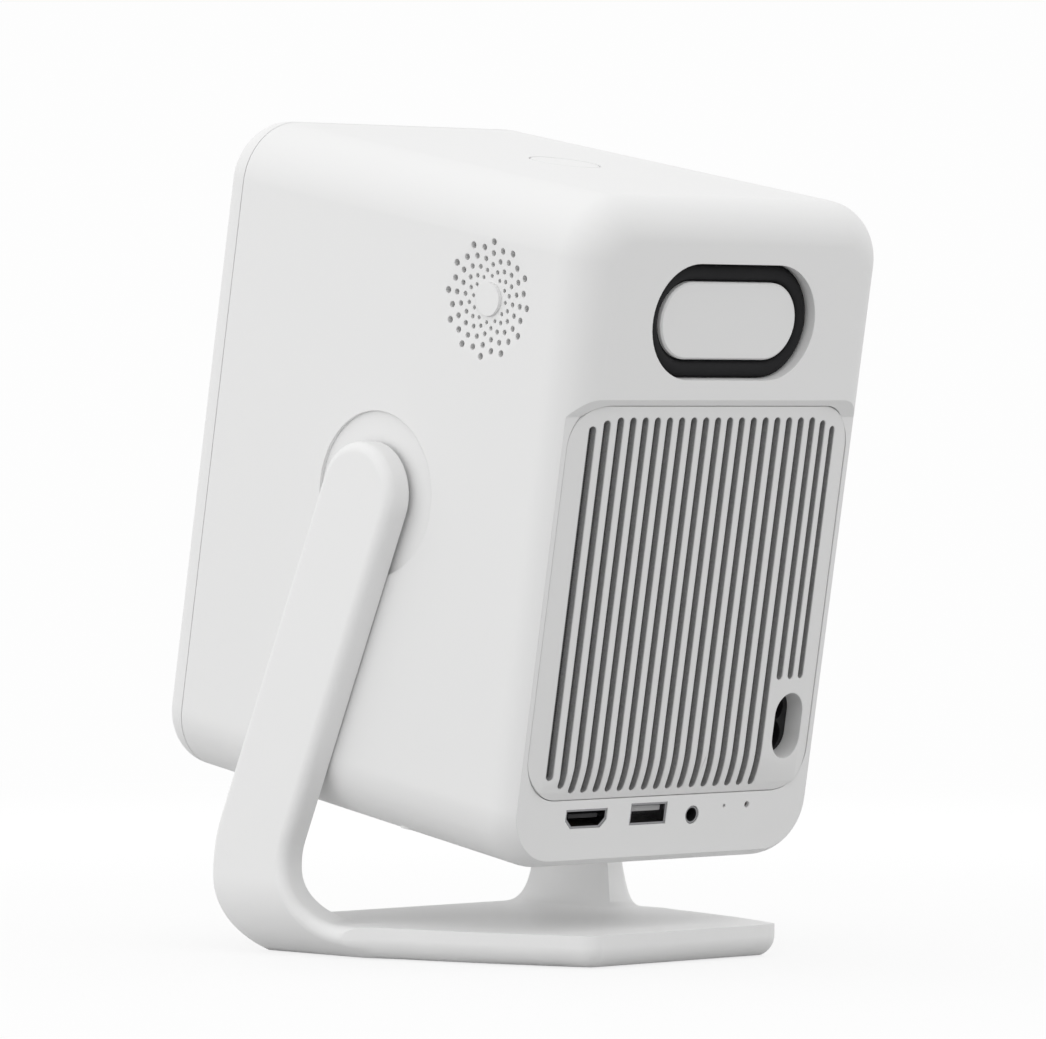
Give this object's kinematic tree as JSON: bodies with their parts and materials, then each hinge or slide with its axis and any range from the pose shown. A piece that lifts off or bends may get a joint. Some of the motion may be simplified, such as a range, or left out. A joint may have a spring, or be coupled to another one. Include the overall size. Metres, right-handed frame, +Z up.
{
  "type": "portable projector",
  "caption": "Boxy white portable projector tilting in a one-piece U-shaped table stand, with slotted rear grille, port strip, side speakers and a rear bass radiator.",
  "frame": {"origin": "centre of the base's underside, on the table, straight below the tilt axis", "axes": "+Z up, +Y towards the rear face with the ports, +X along the tilt axis towards the arm on the side of the wide sockets"},
  "size_m": [0.1314, 0.1765, 0.2308],
  "materials": {
    "white_shell": "fine matte moulded plastic",
    "grille_white": "fine matte moulded plastic",
    "stand_white": "fine matte powder coat over cast metal",
    "black_rubber": "soft matte rubber",
    "black_plastic": "moulded black plastic",
    "grey_mesh": "open grey dust mesh",
    "window_glass": "coated window glass",
    "lens_glass": "polished optical glass",
    "dark_window": "dark infrared window",
    "steel": "turned steel",
    "zinc": "zinc-plated steel",
    "cast_aluminium": "extruded aluminium",
    "green_board": "solder-masked circuit board",
    "grey_plastic": "moulded grey plastic",
    "optic_film": "clear ribbed optical plastic",
    "cone_black": "pressed cone"
  },
  "bodies": {
    "stand": {"stand_yoke": "stand_white", "base_weight": "steel", "weight_screws": "zinc", "base_pad": "black_rubber", "pin_screws": "zinc", "friction_washers": "steel", "pin_nuts": "zinc", "pivot_pin_left": "steel", "pivot_pin_right": "steel"},
    "projector": {"main_housing": "white_shell", "front_cover": "white_shell", "cover_screws": "zinc", "lens_window": "window_glass", "receiver_window": "dark_window", "rear_grille": "grille_white", "dust_filter": "grey_mesh", "radiator_surround": "black_rubber", "speaker_box": "black_plastic", "button_board": "green_board", "engine_box": "black_plastic", "engine_screws": "zinc", "front_field_lens": "optic_film", "lcd_panel": "optic_film", "rear_field_lens": "optic_film", "condenser_lens": "lens_glass", "led_board": "cast_aluminium", "guide_rod": "steel", "focus_motor": "zinc", "heat_sink": "cast_aluminium", "fan_frame": "black_plastic", "main_board": "green_board", "power_board": "green_board", "board_screws": "zinc", "video_socket": "zinc", "data_socket": "zinc", "audio_jack": "black_plastic", "power_inlet": "black_plastic", "hinge_sleeve_left": "steel", "hinge_sleeve_right": "steel", "speaker_frame_left": "grey_plastic", "speaker_frame_right": "grey_plastic", "speaker_surround_left": "black_rubber", "speaker_surround_right": "black_rubber"},
    "radiator": {"radiator_plate": "white_shell"},
    "left_cone": {"speaker_cone_left": "cone_black"},
    "right_cone": {"speaker_cone_right": "cone_black"},
    "button": {"power_button": "white_shell"},
    "lens": {"lens_barrel": "black_plastic", "lens_elements": "lens_glass"},
    "screw": {"focus_screw": "steel"},
    "fan": {"fan_rotor": "black_plastic"}
  },
  "joints": [
    {"name": "tilt", "type": "hinge", "parent": "stand", "child": "projector", "pos_m": [0, 0, 0.1275], "axis": [-1, 0, 0], "range_deg": [-40, 140]},
    {"name": "radiator_travel", "type": "slide", "parent": "projector", "child": "radiator", "axis": [0, 0.9843, -0.1764], "range_m": [-0.001, 0.001], "stiffness_N_per_m": 600, "deforming": ["radiator_surround"]},
    {"name": "left_cone_travel", "type": "slide", "parent": "projector", "child": "left_cone", "axis": [1, 0, 0], "range_m": [-0.0004, 0.0004], "stiffness_N_per_m": 800, "deforming": ["speaker_surround_left"]},
    {"name": "right_cone_travel", "type": "slide", "parent": "projector", "child": "right_cone", "axis": [-1, 0, 0], "range_m": [-0.0004, 0.0004], "stiffness_N_per_m": 800, "deforming": ["speaker_surround_right"]},
    {"name": "power_press", "type": "slide", "parent": "projector", "child": "button", "axis": [0, -0.1764, -0.9843], "range_m": [0, 0.0006], "stiffness_N_per_m": 1500},
    {"name": "focus_travel", "type": "slide", "parent": "projector", "child": "lens", "axis": [0, 0.9843, -0.1764], "range_m": [-0.002, 0.002]},
    {"name": "focus_turn", "type": "hinge", "parent": "projector", "child": "screw", "pos_m": [0.032, 0.00353, 0.14719], "axis": [0, 0.9843, -0.1764], "range_deg": [-724, 724]},
    {"name": "fan_spin", "type": "hinge", "parent": "projector", "child": "fan", "pos_m": [0, 0, 0.1275], "axis": [0, 0.9843, -0.1764], "continuous": true}
  ],
  "couplings": [
    {"joint": "focus_turn", "follows": "focus_travel", "rad_per_m": 6283.2}
  ]
}
